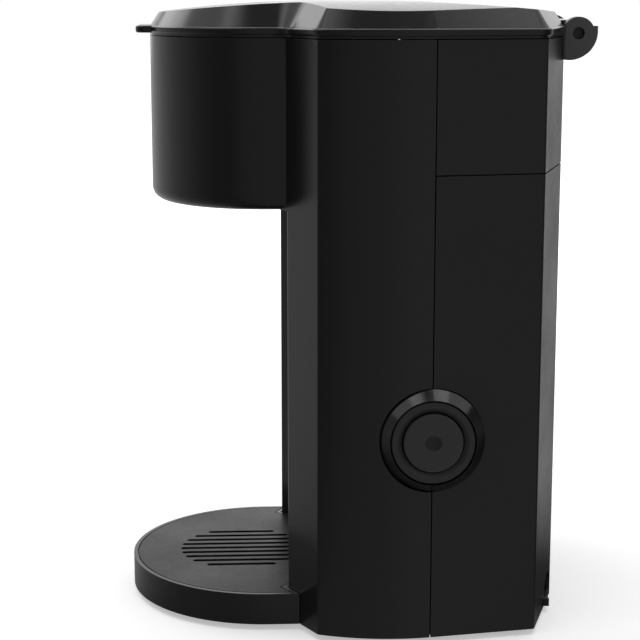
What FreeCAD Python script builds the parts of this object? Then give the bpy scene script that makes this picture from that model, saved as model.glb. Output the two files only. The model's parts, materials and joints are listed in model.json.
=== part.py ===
# Single-cup drip coffee maker, in millimetres: +Z up, front towards -Y, +X is the user's right.
# The origin lies on the table, on the mid-plane, half way between the front and the rear.
import FreeCAD
import Part
import math
import os
from FreeCAD import Vector

# Body: heights above the table and the plan of the column
FOOT_H = 2.5
BODY_H = 230.8
HEAD_H = 65.8
PLATE_T = 12.7
TANK_H = 49.9
WALL = 2.5
SPLIT = 0.5
FIT = 0.3

ARC_Y = -37.5
HEAD_A = 50.0
HEAD_B = 45.6
PLATE_A = 58.4
PLATE_B = 56.5
BODY_HALF = 76.4
SIDE_R = 80.0
SIDE_Y = 12.3
FACET_Y = -18.4
FACET_ANGLE = math.radians(28.9)
BAY_DEPTH = 22.5
SEAM_Y = 25.3
REAR_CORNER_Y = 67.5
REAR_Y = 81.0
REAR_FLAT = 28.0
HEAD_EDGE_R = 5.0
CORNER_R = 1.2
REAR_EDGE_R = 4.0
WING_R = 1.5

TOP_Z = FOOT_H + BODY_H
HEAD_Z = TOP_Z - HEAD_H
PLATE_Z = FOOT_H + PLATE_T
TANK_Z = TOP_Z - TANK_H

# Lid, and its hinge on the back of the tank
LID_GAP = 0.4
LID_SKIRT = 0.8
LID_FLANGE = 2.9
LID_OVER = 1.0
LID_WALL = 2.2
LID_CROWN = 13.4
BEVEL_IN = 7.0
BEVEL_H = 10.4
CROWN_R = 690.0
CROWN_Y = 0.0
CROWN_FLAT = 35.0
CROWN_SIDE_R = 200.0
LID_VALLEY_R = 8.0
LID_CORNER_R = 6.0
LID_EDGE_R = 0.9
TAB_HALF = 15.0
TAB_OUT = 4.2
LINER_T = 2.0
LID_Z = TOP_Z + LID_GAP
FLANGE_Z = LID_Z + LID_SKIRT
BEVEL_Z = FLANGE_Z + LID_FLANGE

PIVOT_Y = REAR_Y + 5.3
PIVOT_Z = TOP_Z + 1.2
PIN_R = 2.4
PIN_FIT = 0.05
LUG_R = 6.4
LUG_X = 25.0
LUG_T = 5.0
KNUCKLE_R = 5.0
PIN_SINK = 2.4

# Brewing parts in the head
LEDGE = 2.5
DECK_T = 2.5
DECK_DROP = 7.0
BASKET_R = 33.0
BASKET_RIM = 37.0
BASKET_TAPER = 5.0
BASKET_WALL = 2.0
BASKET_RIM_T = 2.5
NOZZLE_R = 6.0
NOZZLE_BORE = 4.0
FILTER_WALL = 1.0
SHOWER_R = 20.0
SHOWER_T = 3.0
SHOWER_HOLES = 8
PORT_Y = 10.0
PORT_R = 4.6
PORT_BORE = 2.6
DUCT_R = 3.4
DUCT_BORE = 2.0
DECK_Z = TOP_Z - DECK_DROP
RIM_Z = DECK_Z + DECK_T + BASKET_RIM_T

# Water and heat in the column
HOSE_R = 5.4
HOSE_BORE = 3.6
HOSE_BEND = 12.0
SPIGOT_R = 3.4
SPIGOT_BORE = 2.2
SPIGOT_Y = 62.0
LEG_X = 25.0
LEG_Y0 = 30.0
LEG_Y1 = 46.0
BORE_GAP = 10.5
HEAT_TUBE_R = 6.0
ELEMENT_R = 3.2
ELEMENT_SHELL_R = 5.2
SHEET = 1.5
COVER_T = 2.2
BRACKET_H = 9.0
BRACKET_Y = 36.0
BRACKET_W = 16.0
BRACKET_ARM = 12.0
BRACKET_FOOT = 11.0
BLADE_W = 4.0
BLADE_L = 8.0
BLADE_T = 0.8
STAT_R = 8.0
STAT_H = 8.0
STAT_X = -8.0
TAB_PITCH = 5.0
TAB_H = 6.0
COVER_Z = FOOT_H + COVER_T
BRACKET_Z = COVER_Z + BRACKET_H
ELEMENT_Z = BRACKET_Z + ELEMENT_SHELL_R
WATER_Z = ELEMENT_Z + BORE_GAP

# Push button on the right side, on the seam
BUTTON_Z = 82.0
BEZEL_R = 20.2
BEZEL_TOP_R = 16.7
BEZEL_OUT = 4.2
BEZEL_DEPTH = 7.0
RING_R = 16.1
RING_FLAT_R = 13.8
RING_IN_R = 12.0
CAP_R = 11.5
DIMPLE_R = 3.5
DIMPLE_DEPTH = 0.9
STEM_R = 3.0
CARRIER_R = 22.0
CARRIER_T = 2.0
CARRIER_GAP = 10.0
SWITCH_L = 18.0
SWITCH_W = 19.0

# Mug plate, drip tray, feet, cord outlet and fasteners
PLATE_RIM = 1.6
GRID_T = 1.6
TRAY_R = 34.0
TRAY_DEPTH = 4.6
TRAY_WALL = 1.4
DRIP_Y = -48.0
SLOTS = 9
SLOT_W = 2.6
SLOT_PITCH = 5.4
SLOT_R = 26.0
FOOT_L = 27.0
FOOT_W = 11.0
FRONT_FOOT = (33.0, -67.8, 42.7)
REAR_FOOT = (48.0, 52.0, 99.4)
OUTLET_X = 36.5
OUTLET_W = 14.0
OUTLET_LOW = 3.2
OUTLET_H = 8.8
OUTLET_RISE = 4.8
LIP_OUT = 2.2
CORD_R = 3.6
GLAND_L = 14.0
GLAND_FLANGE = 5.0
GLAND_EDGE = 3.0
SCREW_R = 1.5
SCREW_HEAD_R = 2.8
SCREW_HEAD_T = 1.3
SCREW_L = 9.0
BOSS_R = 4.5
LEAD_R = 1.1

UP = Vector(0, 0, 1)
BACK = Vector(0, 1, 0)
RIGHT = Vector(1, 0, 0)


def at(x, y, z=0.0):
    return Vector(x, y, z)


def prism(wire, low, high):
    """Solid with a flat plan outline, between two heights."""
    body = Part.Face(wire).extrude(UP * (high - low))
    body.translate(UP * low)
    return body


def box(x0, x1, y0, y1, z0, z1):
    return Part.makeBox(x1 - x0, y1 - y0, z1 - z0, at(x0, y0, z0))


def rod(start, axis, radius, length):
    return Part.makeCylinder(radius, length, start, axis)


def turned(profile, base, axis, out):
    """Ring or disc turned about an axis, from (along, radius) points."""
    points = [base + axis * along + out * radius for along, radius in profile]
    face = Part.Face(Part.makePolygon(points + points[:1]))
    return face.revolve(base, axis, 360)


def route(points, bend):
    """Straight runs joined by tangent arcs of one bend radius."""
    edges = []
    start = points[0]
    for before, corner, after in zip(points, points[1:], points[2:]):
        into = (corner - before).normalize()
        out = (after - corner).normalize()
        turn = into.getAngle(out)
        back = bend * math.tan(turn / 2)
        first = corner - into * back
        last = corner + out * back
        middle = corner + (out - into).normalize() * (bend / math.cos(turn / 2) - bend)
        edges.append(Part.LineSegment(start, first).toShape())
        edges.append(Part.Arc(first, middle, last).toShape())
        start = last
    edges.append(Part.LineSegment(start, points[-1]).toShape())
    return Part.Wire(edges)


def bent_rod(points, bend, radius):
    """Round rod along a route."""
    ring = Part.Circle(points[0], points[1] - points[0], radius).toShape()
    return route(points, bend).makePipeShell([Part.Wire(ring)], True, False)


def bent_tube(points, bend, radius, bore):
    return bent_rod(points, bend, radius).cut(bent_rod(points, bend, bore))


def joined(shapes):
    """One solid out of several that touch or overlap."""
    return shapes[0].fuse(shapes[1:]).removeSplitter()


def both_sides(shape):
    return [shape, shape.mirror(at(0, 0), RIGHT)]


def line(a, b):
    return Part.LineSegment(a, b).toShape()


def arc(a, b, centre):
    """Arc shorter than a half turn between two points on a circle."""
    radius = (a - centre).Length
    middle = centre + (a + b - centre * 2).normalize() * radius
    return Part.Arc(a, middle, b).toShape()


def mirrored(p):
    return at(-p.x, p.y, p.z)


def crossing(centre, radius, point, direction):
    """Last point where a line along its direction meets a circle."""
    rel = point - centre
    along = rel.dot(direction)
    return point + direction * (math.sqrt(along ** 2 - rel.dot(rel) + radius ** 2) - along)


SIDE_C = at(BODY_HALF - SIDE_R, SIDE_Y)
FACET_DIR = at(math.cos(FACET_ANGLE), math.sin(FACET_ANGLE))
FACET_OUT = at(math.sin(FACET_ANGLE), -math.cos(FACET_ANGLE))
CORNER = at(SIDE_C.x + math.sqrt(SIDE_R ** 2 - (FACET_Y - SIDE_Y) ** 2), FACET_Y)
SEAM_TURN = math.asin((SEAM_Y - SIDE_Y) / SIDE_R)
SEAM_OUT = at(math.cos(SEAM_TURN), math.sin(SEAM_TURN))
REAR_DIR = at(-math.sin(SEAM_TURN), math.cos(SEAM_TURN))
SEAM = SIDE_C + SEAM_OUT * SIDE_R
REAR_CORNER = SEAM + REAR_DIR * ((REAR_CORNER_Y - SEAM.y) / REAR_DIR.y)
REAR_END = at(REAR_FLAT, REAR_Y)
BACK_DIR = (REAR_END - REAR_CORNER).normalize()
BACK_OUT = at(BACK_DIR.y, -BACK_DIR.x)


def facet_point(x, inset):
    """Point of the front facet, moved in by an inset, at one distance from the mid-plane."""
    start = CORNER - FACET_OUT * inset
    return start + FACET_DIR * ((x - start.x) / FACET_DIR.x)


WING = facet_point(HEAD_A, 0)
BAY_R = (WING.x ** 2 + BAY_DEPTH ** 2) / (2 * BAY_DEPTH)
BAY_C = at(0, WING.y + BAY_DEPTH - BAY_R)


def meeting(p, along, q, other):
    """Point where two lines in the plan cross."""
    side = at(-other.y, other.x)
    return p + along * ((q - p).dot(side) / along.dot(side))


def column_edges(inset):
    """Right half of the column's plan, from its front corner to the end of its rear facet."""
    corner = crossing(SIDE_C, SIDE_R - inset, CORNER - FACET_OUT * inset, FACET_DIR)
    seam = SIDE_C + SEAM_OUT * (SIDE_R - inset)
    facet = REAR_CORNER - BACK_OUT * inset
    rear = meeting(seam, REAR_DIR, facet, BACK_DIR)
    end = meeting(facet, BACK_DIR, at(0, REAR_Y - inset), RIGHT)
    return corner, seam, rear, end


def closed(front_edges, inset, start):
    """Close a plan round the column from the inner end of the right facet."""
    corner, seam, rear, end = column_edges(inset)
    edges = list(front_edges)
    edges += [line(start, corner), arc(corner, seam, SIDE_C), line(seam, rear)]
    edges += [line(rear, end), line(end, mirrored(end)), line(mirrored(end), mirrored(rear))]
    left_seam = mirrored(seam)
    left_corner = mirrored(corner)
    edges += [line(mirrored(rear), left_seam), arc(left_seam, left_corner, mirrored(SIDE_C))]
    edges += [line(left_corner, mirrored(start))]
    return Part.Wire(Part.sortEdges(edges)[0])


def front_half(a, b):
    """Front half of an ellipse about the head's centre, from the left to the right."""
    centre = at(0, ARC_Y)
    if a >= b:
        curve = Part.Ellipse(at(a, ARC_Y), at(0, ARC_Y + b), centre)
        return Part.ArcOfEllipse(curve, -math.pi, 0).toShape()
    curve = Part.Ellipse(at(0, ARC_Y - b), at(a, ARC_Y), centre)
    return Part.ArcOfEllipse(curve, -math.pi / 2, math.pi / 2).toShape()


def head_plan(inset):
    """Plan of the brew head together with the column behind it."""
    a = HEAD_A - inset
    inner = facet_point(a, inset)
    front = at(a, ARC_Y)
    edges = [front_half(a, HEAD_B - inset), line(front, inner)]
    edges += [line(mirrored(front), mirrored(inner))]
    return closed(edges, inset, inner)


def bay_plan(inset):
    """Plan of the column at the height of the mug bay."""
    start = CORNER - FACET_OUT * inset
    wing = crossing(BAY_C, BAY_R + inset, start, FACET_DIR)
    return closed([arc(mirrored(wing), wing, BAY_C)], inset, wing)


def plate_plan(inset):
    """Plan of the mug plate, run back under the column."""
    a = PLATE_A - inset
    front = at(a, ARC_Y)
    back = at(a, SEAM_Y)
    edges = [front_half(a, PLATE_B - inset), line(front, back)]
    edges += [line(back, mirrored(back)), line(mirrored(back), mirrored(front))]
    return Part.Wire(Part.sortEdges(edges)[0])


REACH = 3 * (BODY_HALF + REAR_Y)
BUTTON_BASE = at(SEAM.x, SEAM_Y, BUTTON_Z)
FRONT_BOSS = SIDE_C + RIGHT * (SIDE_R - WALL - BOSS_R + 0.4)
REAR_BOSS = SEAM + REAR_DIR * (0.45 * (REAR_CORNER_Y - SEAM_Y)) - SEAM_OUT * (WALL + BOSS_R - 0.4)
COVER_BOSSES = [(FRONT_BOSS.x, FRONT_BOSS.y), (REAR_BOSS.x, REAR_BOSS.y)]


def front_space(gap):
    return box(-REACH, REACH, -REACH, SEAM_Y - gap, -REACH, REACH)


def rear_space(gap):
    return box(-REACH, REACH, SEAM_Y + gap, REACH, -REACH, REACH)


def upright_edges(shape, points):
    """Upright edges of a solid that stand at given plan points."""
    found = []
    for edge in shape.Edges:
        first, last = edge.Vertexes[0].Point, edge.Vertexes[-1].Point
        if abs(first.x - last.x) + abs(first.y - last.y) < 1e-6:
            if any(math.hypot(first.x - p.x, first.y - p.y) < 1e-3 for p in points):
                found.append(edge)
    return found


def column_solid(low, high):
    """Column with rounded upright edges, at the height of the mug bay."""
    body = prism(bay_plan(0), low, high)
    body = body.makeFillet(WING_R, upright_edges(body, [WING, mirrored(WING)]))
    corners = [CORNER, mirrored(CORNER), REAR_CORNER, mirrored(REAR_CORNER)]
    body = body.makeFillet(CORNER_R, upright_edges(body, corners))
    return body.makeFillet(REAR_EDGE_R, upright_edges(body, [REAR_END, mirrored(REAR_END)]))


def head_solid():
    """Brew head without the column, with a rounded lower edge."""
    body = prism(head_plan(0), HEAD_Z, TOP_Z)
    body = body.common(box(-REACH, REACH, -REACH, FACET_Y - 3 * CORNER_R, HEAD_Z, TOP_Z))
    low = [e for e in body.Edges if abs(e.BoundBox.ZMax - HEAD_Z) < 1e-6]
    low = [e for e in low if e.CenterOfMass.y < ARC_Y / 2 + WING.y / 2 + 1e-6]
    return body.makeFillet(HEAD_EDGE_R, low)


def button_hole():
    start = BUTTON_BASE - RIGHT * (3 * BEZEL_DEPTH)
    return rod(start, RIGHT, BEZEL_R + FIT, 6 * BEZEL_DEPTH)


def boss(x, y, low, high):
    """Screw boss with its pilot hole open at the bottom."""
    body = rod(at(x, y, low), UP, BOSS_R, high - low)
    return body.cut(rod(at(x, y, low), UP, SCREW_R + 0.1, SCREW_L + 1.0))


def cover_space(gap):
    """Room that the bottom cover needs, with a clearance round it."""
    under = prism(plate_plan(WALL + FIT - gap), FOOT_H - 1, COVER_Z + gap)
    return under.fuse(prism(head_plan(WALL + FIT - gap), FOOT_H - 1, COVER_Z + gap))


def front_housing():
    """Front shell: brew head, facets, bay wall and the front half of the sides."""
    body = column_solid(FOOT_H, TOP_Z).fuse(head_solid()).common(front_space(SPLIT / 2))
    hollow = prism(bay_plan(WALL), FOOT_H - 1, TOP_Z + 1)
    hollow = hollow.fuse(prism(head_plan(WALL), HEAD_Z + WALL, TOP_Z + 1))
    ledge = prism(head_plan(WALL - 0.5), DECK_Z - LEDGE, DECK_Z)
    ledge = ledge.cut(prism(head_plan(WALL + LEDGE), DECK_Z - LEDGE - 1, DECK_Z + 1))
    lip = prism(bay_plan(WALL + FIT), COVER_Z + 1, TANK_Z - 4 * LEDGE)
    lip = lip.cut(prism(bay_plan(WALL + FIT + 2), COVER_Z, TANK_Z))
    lip = lip.common(box(-REACH, REACH, SEAM_Y - 7, SEAM_Y + 5, 0, TANK_Z))
    root = prism(bay_plan(WALL - 0.5), COVER_Z + 1, TANK_Z - 4 * LEDGE)
    root = root.cut(prism(bay_plan(WALL + FIT + 2), COVER_Z, TANK_Z))
    root = root.common(box(-REACH, REACH, SEAM_Y - 7, SEAM_Y - 2, 0, TANK_Z))
    x, y = COVER_BOSSES[0]
    bosses = both_sides(boss(x, y, COVER_Z + 0.1, COVER_Z + 2 * SCREW_L))
    shell = joined([body.cut(hollow), ledge.common(front_space(SPLIT / 2)), lip, root] + bosses)
    shell = shell.cut(cover_space(FIT))
    shell = shell.cut(rod(at(0, ARC_Y, HEAD_Z - 1), UP, NOZZLE_R + 2.0, 2 * WALL))
    return shell.cut(button_hole())


def outlet_space(gap, y0, y1):
    """Arched opening for the cord, with an inset."""
    half = OUTLET_W / 2 - gap
    low = FOOT_H + OUTLET_LOW + gap
    spring = FOOT_H + OUTLET_LOW + OUTLET_H - OUTLET_RISE
    rise = OUTLET_RISE - gap
    centre = at(OUTLET_X, y0, spring)
    wide, tall = centre + RIGHT * half, centre + UP * rise
    curve = Part.Ellipse(wide, tall, centre) if half >= rise else Part.Ellipse(tall, wide, centre)
    arch = Part.Face(Part.Wire(curve.toShape())).extrude(BACK * (y1 - y0))
    body = box(OUTLET_X - half, OUTLET_X + half, y0, y1, low, spring)
    upper = box(OUTLET_X - half, OUTLET_X + half, y0, y1, spring - 0.1, spring + rise)
    return body.fuse(arch.common(upper)).removeSplitter()


def rear_housing():
    """Lower rear shell, with the cord outlet at its foot."""
    high = TANK_Z - SPLIT / 2
    body = column_solid(FOOT_H, high).common(rear_space(SPLIT / 2))
    side = OUTLET_X + OUTLET_W / 2
    sill = meeting(REAR_CORNER, BACK_DIR, at(side, 0), BACK).y + LIP_OUT
    lip = box(REAR_FLAT, side, REAR_CORNER_Y, sill, FOOT_H, FOOT_H + OUTLET_LOW)
    body = body.fuse(lip).cut(prism(bay_plan(WALL), FOOT_H - 1, high + 1))
    x, y = COVER_BOSSES[1]
    posts = both_sides(boss(x, y, COVER_Z + 0.1, COVER_Z + 2 * SCREW_L))
    shell = joined([body] + posts)
    shell = shell.cut(outlet_space(0, SEAM_Y + 10, REAR_Y + 10))
    return shell.cut(button_hole())


def lug(x0, x1):
    """Hinge lug on the back of the tank, with the tail that stops the open lid."""
    tail = LUG_R + 1.2
    top = PIVOT_Z + 2.8
    tip = at(x0, PIVOT_Y - LUG_R - 1.5, PIVOT_Z - 1.5 * LUG_R)
    heel = at(x0, PIVOT_Y + tail, PIVOT_Z)
    middle = at(x0, PIVOT_Y + 0.8 * LUG_R, PIVOT_Z - LUG_R)
    corner = at(x0, PIVOT_Y + tail, top)
    inner = at(x0, PIVOT_Y, top)
    wall = at(x0, PIVOT_Y - LUG_R, TOP_Z)
    edges = [Part.Arc(tip, middle, heel).toShape(), line(heel, corner), line(corner, inner)]
    edges += [line(inner, wall), line(wall, tip)]
    body = Part.Face(Part.Wire(edges)).extrude(RIGHT * (x1 - x0))
    eye = rod(at(x0, PIVOT_Y, PIVOT_Z), RIGHT, LUG_R, x1 - x0)
    return body.fuse(eye)


def water_tank():
    """Open-topped tank: the upper rear of the body, with the hinge lugs and the outlet spigot."""
    low = TANK_Z + SPLIT / 2
    floor = low + WALL
    body = column_solid(low, TOP_Z).common(rear_space(SPLIT / 2))
    inside = prism(bay_plan(WALL), floor, TOP_Z + 1).common(rear_space(SPLIT / 2 + WALL))
    tongue = prism(bay_plan(WALL + FIT), low - 6, low + 1)
    tongue = tongue.cut(prism(bay_plan(WALL + FIT + 2), low - 7, low + 2))
    tongue = tongue.common(rear_space(SPLIT / 2 + 6))
    lugs = both_sides(lug(LUG_X, LUG_X + LUG_T))
    spigot = rod(at(-LEG_X, SPIGOT_Y, low - 12), UP, SPIGOT_R, 13)
    collar = rod(at(-LEG_X, SPIGOT_Y, low - 3), UP, HOSE_R + 1, 4)
    tank = joined([body.cut(inside), tongue, spigot, collar] + lugs)
    tank = tank.cut(inside)
    tank = tank.cut(rod(at(-LEG_X, SPIGOT_Y, low - 13), UP, SPIGOT_BORE, 20))
    pin = rod(at(-LUG_X - LUG_T - 1, PIVOT_Y, PIVOT_Z), RIGHT, PIN_R, 2 * (LUG_X + LUG_T + 1))
    knuckle = at(-LUG_X, PIVOT_Y, PIVOT_Z)
    tank = tank.cut(rod(knuckle, RIGHT, KNUCKLE_R + 0.6, 2 * LUG_X))
    return tank.cut(pin)


def hinge_pin():
    half = LUG_X + LUG_T - PIN_SINK
    return rod(at(-half, PIVOT_Y, PIVOT_Z), RIGHT, PIN_R, 2 * half)


def crown_space(drop):
    """Room under the lid's crown: arched front to back, and falling away at both sides."""
    top = LID_Z + LID_CROWN - drop
    half = 1.5 * (PLATE_B + REAR_Y)
    fall = CROWN_R - math.sqrt(CROWN_R ** 2 - half ** 2)
    front = at(-REACH, CROWN_Y - half, top - fall)
    rear = at(-REACH, CROWN_Y + half, top - fall)
    edges = [Part.Arc(front, at(-REACH, CROWN_Y, top), rear).toShape()]
    edges += [line(rear, rear - UP * half), line(rear - UP * half, front - UP * half)]
    edges += [line(front - UP * half, front)]
    along = Part.Face(Part.Wire(edges)).extrude(RIGHT * (2 * REACH))
    reach = BODY_HALF + 5 - CROWN_FLAT
    side_fall = CROWN_SIDE_R - math.sqrt(CROWN_SIDE_R ** 2 - reach ** 2)
    mid_fall = CROWN_SIDE_R - math.sqrt(CROWN_SIDE_R ** 2 - reach ** 2 / 4)
    flat = at(CROWN_FLAT, -REACH, top)
    middle = at(CROWN_FLAT + reach / 2, -REACH, top - mid_fall)
    outer = at(CROWN_FLAT + reach, -REACH, top - side_fall)
    foot = at(outer.x, -REACH, top - half)
    edges = [line(mirrored(flat), flat), Part.Arc(flat, middle, outer).toShape()]
    edges += [line(outer, foot), line(foot, mirrored(foot)), line(mirrored(foot), mirrored(outer))]
    edges += [Part.Arc(mirrored(outer), mirrored(middle), mirrored(flat)).toShape()]
    across = Part.Face(Part.Wire(edges)).extrude(BACK * (2 * REACH))
    return along.common(across)


def lid_plan(inset):
    """Plan of the lid: the head's plan with soft corners and a soft valley behind the head."""
    corner, seam, rear, end = column_edges(inset)
    valley = facet_point(HEAD_A - inset, inset)
    slab = prism(head_plan(inset), 0, 1)
    outer = [corner, mirrored(corner), rear, mirrored(rear), end, mirrored(end)]
    slab = slab.makeFillet(max(LID_CORNER_R - inset, 1.0), upright_edges(slab, outer))
    slab = slab.makeFillet(LID_VALLEY_R + inset, upright_edges(slab, [valley, mirrored(valley)]))
    return [f for f in slab.Faces if f.BoundBox.ZMax < 1e-6][0].OuterWire


def lid_top(inset, drop):
    """Bevelled and crowned upper part of the lid."""
    low = lid_plan(inset)
    low.translate(UP * BEVEL_Z)
    high = lid_plan(inset + BEVEL_IN)
    high.translate(UP * (BEVEL_Z + BEVEL_H))
    return Part.makeLoft([low, high], True, True).common(crown_space(drop))


def lid_solid():
    skirt = prism(lid_plan(0), LID_Z, FLANGE_Z)
    flange = prism(lid_plan(-LID_OVER), FLANGE_Z, BEVEL_Z)
    flange = flange.makeFillet(LID_EDGE_R, [e for e in flange.Edges if e.BoundBox.ZLength < 1e-6])
    front = ARC_Y - HEAD_B - LID_OVER
    tab = box(-TAB_HALF, TAB_HALF, front - TAB_OUT, front + 6, FLANGE_Z, BEVEL_Z)
    ends = [e for e in tab.Edges if e.BoundBox.ZLength > 1 and e.CenterOfMass.y < front - 1]
    tab = tab.makeFillet(0.9 * TAB_OUT, ends)
    rims = [e for e in tab.Edges if e.BoundBox.ZLength < 1e-6 and e.CenterOfMass.y < front + 5]
    tab = tab.makeFillet(LID_EDGE_R, rims)
    return joined([skirt, flange, tab, lid_top(0.3, 0)])


LID_BOSSES = [(HEAD_A - 16.0, ARC_Y - 14.0), (BODY_HALF - 22.0, SIDE_Y + 36.0)]


def lid_shell():
    """Lid with its knuckle; it turns on the hinge pin."""
    outer = lid_solid()
    hollow = prism(lid_plan(LID_WALL), LID_Z - 1, BEVEL_Z).fuse(lid_top(LID_WALL + 0.3, LID_WALL))
    liner_top = LID_Z + 0.2 + LINER_T
    posts = []
    for x, y in LID_BOSSES:
        post = rod(at(x, y, liner_top), UP, BOSS_R - 1, LID_CROWN)
        pilot = rod(at(x, y, liner_top), UP, SCREW_R + 0.1, LID_CROWN / 2 - 1)
        posts += both_sides(post.cut(pilot))
    posts = [post.common(outer) for post in posts]
    half = LUG_X - 0.5
    knuckle = rod(at(-half, PIVOT_Y, PIVOT_Z), RIGHT, KNUCKLE_R, 2 * half)
    arm = box(-half, half, REAR_Y - 3, PIVOT_Y, PIVOT_Z - 0.3, PIVOT_Z + KNUCKLE_R)
    arm = arm.cut(hollow)
    shell = joined([outer.cut(hollow), knuckle, arm] + posts)
    for x0 in (LUG_X - 0.5, -LUG_X - LUG_T - 0.5):
        notch = rod(at(x0, PIVOT_Y, PIVOT_Z), RIGHT, LUG_R + 0.5, LUG_T + 1.0)
        shell = shell.cut(notch)
    bore = rod(at(-half, PIVOT_Y, PIVOT_Z), RIGHT, PIN_R + PIN_FIT, 2 * half)
    return shell.cut(bore)


def lid_liner():
    """Plate that closes the lid from below, with openings for the water duct."""
    low = LID_Z + 0.2
    plate = prism(lid_plan(LID_WALL + FIT), low, low + LINER_T)
    for x0 in (LUG_X - 0.5, -LUG_X - LUG_T - 0.5):
        plate = plate.cut(rod(at(x0, PIVOT_Y, PIVOT_Z), RIGHT, LUG_R + 0.5, LUG_T + 1.0))
    for y in (PORT_Y, ARC_Y):
        plate = plate.cut(rod(at(0, y, low - 1), UP, DUCT_R + FIT, LINER_T + 2))
    for x, y in LID_BOSSES:
        for side in (x, -x):
            plate = plate.cut(rod(at(side, y, low - 1), UP, SCREW_R + 0.1, LINER_T + 2))
            plate = plate.cut(rod(at(side, y, low - 1), UP, SCREW_HEAD_R + 0.2, SCREW_HEAD_T + 1))
    return plate


def screw(x, y, z):
    """Screw driven upwards, with its head seat at one height."""
    head = rod(at(x, y, z - SCREW_HEAD_T), UP, SCREW_HEAD_R, SCREW_HEAD_T)
    head = head.cut(box(x - 1.8, x + 1.8, y - 0.4, y + 0.4, z - 2, z - SCREW_HEAD_T + 0.6))
    head = head.cut(box(x - 0.4, x + 0.4, y - 1.8, y + 1.8, z - 2, z - SCREW_HEAD_T + 0.6))
    return head.fuse(rod(at(x, y, z), UP, SCREW_R, SCREW_L / 2))


def lid_screws():
    seat = LID_Z + 0.2 + SCREW_HEAD_T
    return [screw(side, y, seat) for x, y in LID_BOSSES for side in (x, -x)]


def shower_head():
    """Disc of holes that spreads the hot water over the grounds."""
    top = LID_Z + 0.2
    plate_low = RIM_Z - 3.0 - SHOWER_T
    profile = [(0, 0), (0, SHOWER_R), (SHOWER_T + 2, SHOWER_R), (SHOWER_T + 2, SHOWER_R - 2)]
    profile += [(SHOWER_T, SHOWER_R - 2), (SHOWER_T, DUCT_R + 3), (top - plate_low, DUCT_R + 3)]
    profile += [(top - plate_low, 0)]
    body = turned(profile, at(0, ARC_Y, plate_low), UP, RIGHT)
    body = body.cut(rod(at(0, ARC_Y, plate_low + 1.2), UP, DUCT_R + FIT, top - plate_low))
    for ring, count in ((0.5 * DUCT_R, SHOWER_HOLES // 2), (0.7 * SHOWER_R, SHOWER_HOLES)):
        for k in range(count):
            turn = 2 * math.pi * k / count
            x, y = ring * math.cos(turn), ARC_Y + ring * math.sin(turn)
            body = body.cut(rod(at(x, y, plate_low - 1), UP, 0.8, SHOWER_T + 2))
    return body


def lid_seal():
    """Soft ring under the lid that closes on the basket's rim."""
    low = RIM_Z + FIT
    high = LID_Z + 0.2
    profile = [(low, BASKET_R - 1), (low, BASKET_RIM - 1), (high, BASKET_RIM), (high, BASKET_R - 2)]
    return turned(profile, at(0, ARC_Y), UP, RIGHT)


def lid_duct():
    """Duct that carries the hot water through the lid, from the port to the shower head."""
    level = LID_Z + 0.2 + LINER_T + DUCT_R + FIT
    dock = at(0, PORT_Y, TOP_Z + 0.1)
    drop = at(0, ARC_Y, RIM_Z - 1.0)
    path = [dock, at(0, PORT_Y, level), at(0, ARC_Y, level), drop]
    return bent_tube(path, DUCT_R + 0.8, DUCT_R, DUCT_BORE)


def top_deck():
    """Deck that closes the front of the body round the basket."""
    body = prism(head_plan(WALL + FIT), DECK_Z, DECK_Z + DECK_T).common(front_space(SPLIT / 2 + FIT))
    body = body.cut(rod(at(0, ARC_Y, DECK_Z - 1), UP, BASKET_R + 0.8, DECK_T + 2))
    return body.cut(rod(at(0, PORT_Y, DECK_Z - 1), UP, PORT_R + FIT, DECK_T + 2))


def basket_radius(z, inset):
    """Radius of the tapered basket at one height."""
    top = DECK_Z + DECK_T
    low = HEAD_Z + 3 * WALL
    return BASKET_R - inset - BASKET_TAPER * (top - z) / (top - low)


def brew_basket():
    """Basket with a rim on the deck, and the nozzle that fills the mug."""
    low = HEAD_Z + 3 * WALL
    floor = low + BASKET_WALL
    top = DECK_Z + DECK_T
    ledge = RIM_Z - BASKET_RIM_T + 0.6
    profile = [(HEAD_Z + 0.5, NOZZLE_BORE), (HEAD_Z + 0.5, NOZZLE_R), (low, NOZZLE_R)]
    profile += [(low, basket_radius(low, 0)), (top, basket_radius(top, 0)), (top, BASKET_RIM)]
    profile += [(RIM_Z, BASKET_RIM), (RIM_Z, BASKET_R - 0.5), (ledge, BASKET_R - 0.5)]
    profile += [(ledge, basket_radius(top, BASKET_WALL)), (floor, basket_radius(floor, BASKET_WALL))]
    profile += [(floor, NOZZLE_BORE)]
    return turned(profile, at(0, ARC_Y), UP, RIGHT)


def mesh_filter():
    """Reusable filter cup, hung by its rim inside the basket."""
    ledge = RIM_Z - BASKET_RIM_T + 0.6
    floor = HEAD_Z + 3 * WALL + BASKET_WALL + 5
    inset = BASKET_WALL + 1.2
    high = basket_radius(ledge, inset)
    low = basket_radius(floor, inset)
    profile = [(floor, 0), (floor, low), (ledge, high), (ledge, BASKET_R - 1)]
    profile += [(RIM_Z, BASKET_R - 1), (RIM_Z, high - FILTER_WALL)]
    profile += [(floor + FILTER_WALL, low - FILTER_WALL), (floor + FILTER_WALL, 0)]
    return turned(profile, at(0, ARC_Y), UP, RIGHT)


def water_port():
    """Spout that brings the hot water up through the deck."""
    body = rod(at(0, PORT_Y, DECK_Z - 14), UP, SPIGOT_R, 14)
    collar = rod(at(0, PORT_Y, DECK_Z - 3), UP, PORT_R + 3, 3)
    neck = rod(at(0, PORT_Y, DECK_Z - 1), UP, PORT_R, DECK_T + 2)
    body = joined([body, collar, neck])
    return body.cut(rod(at(0, PORT_Y, DECK_Z - 15), UP, PORT_BORE - 0.4, 40))


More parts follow.
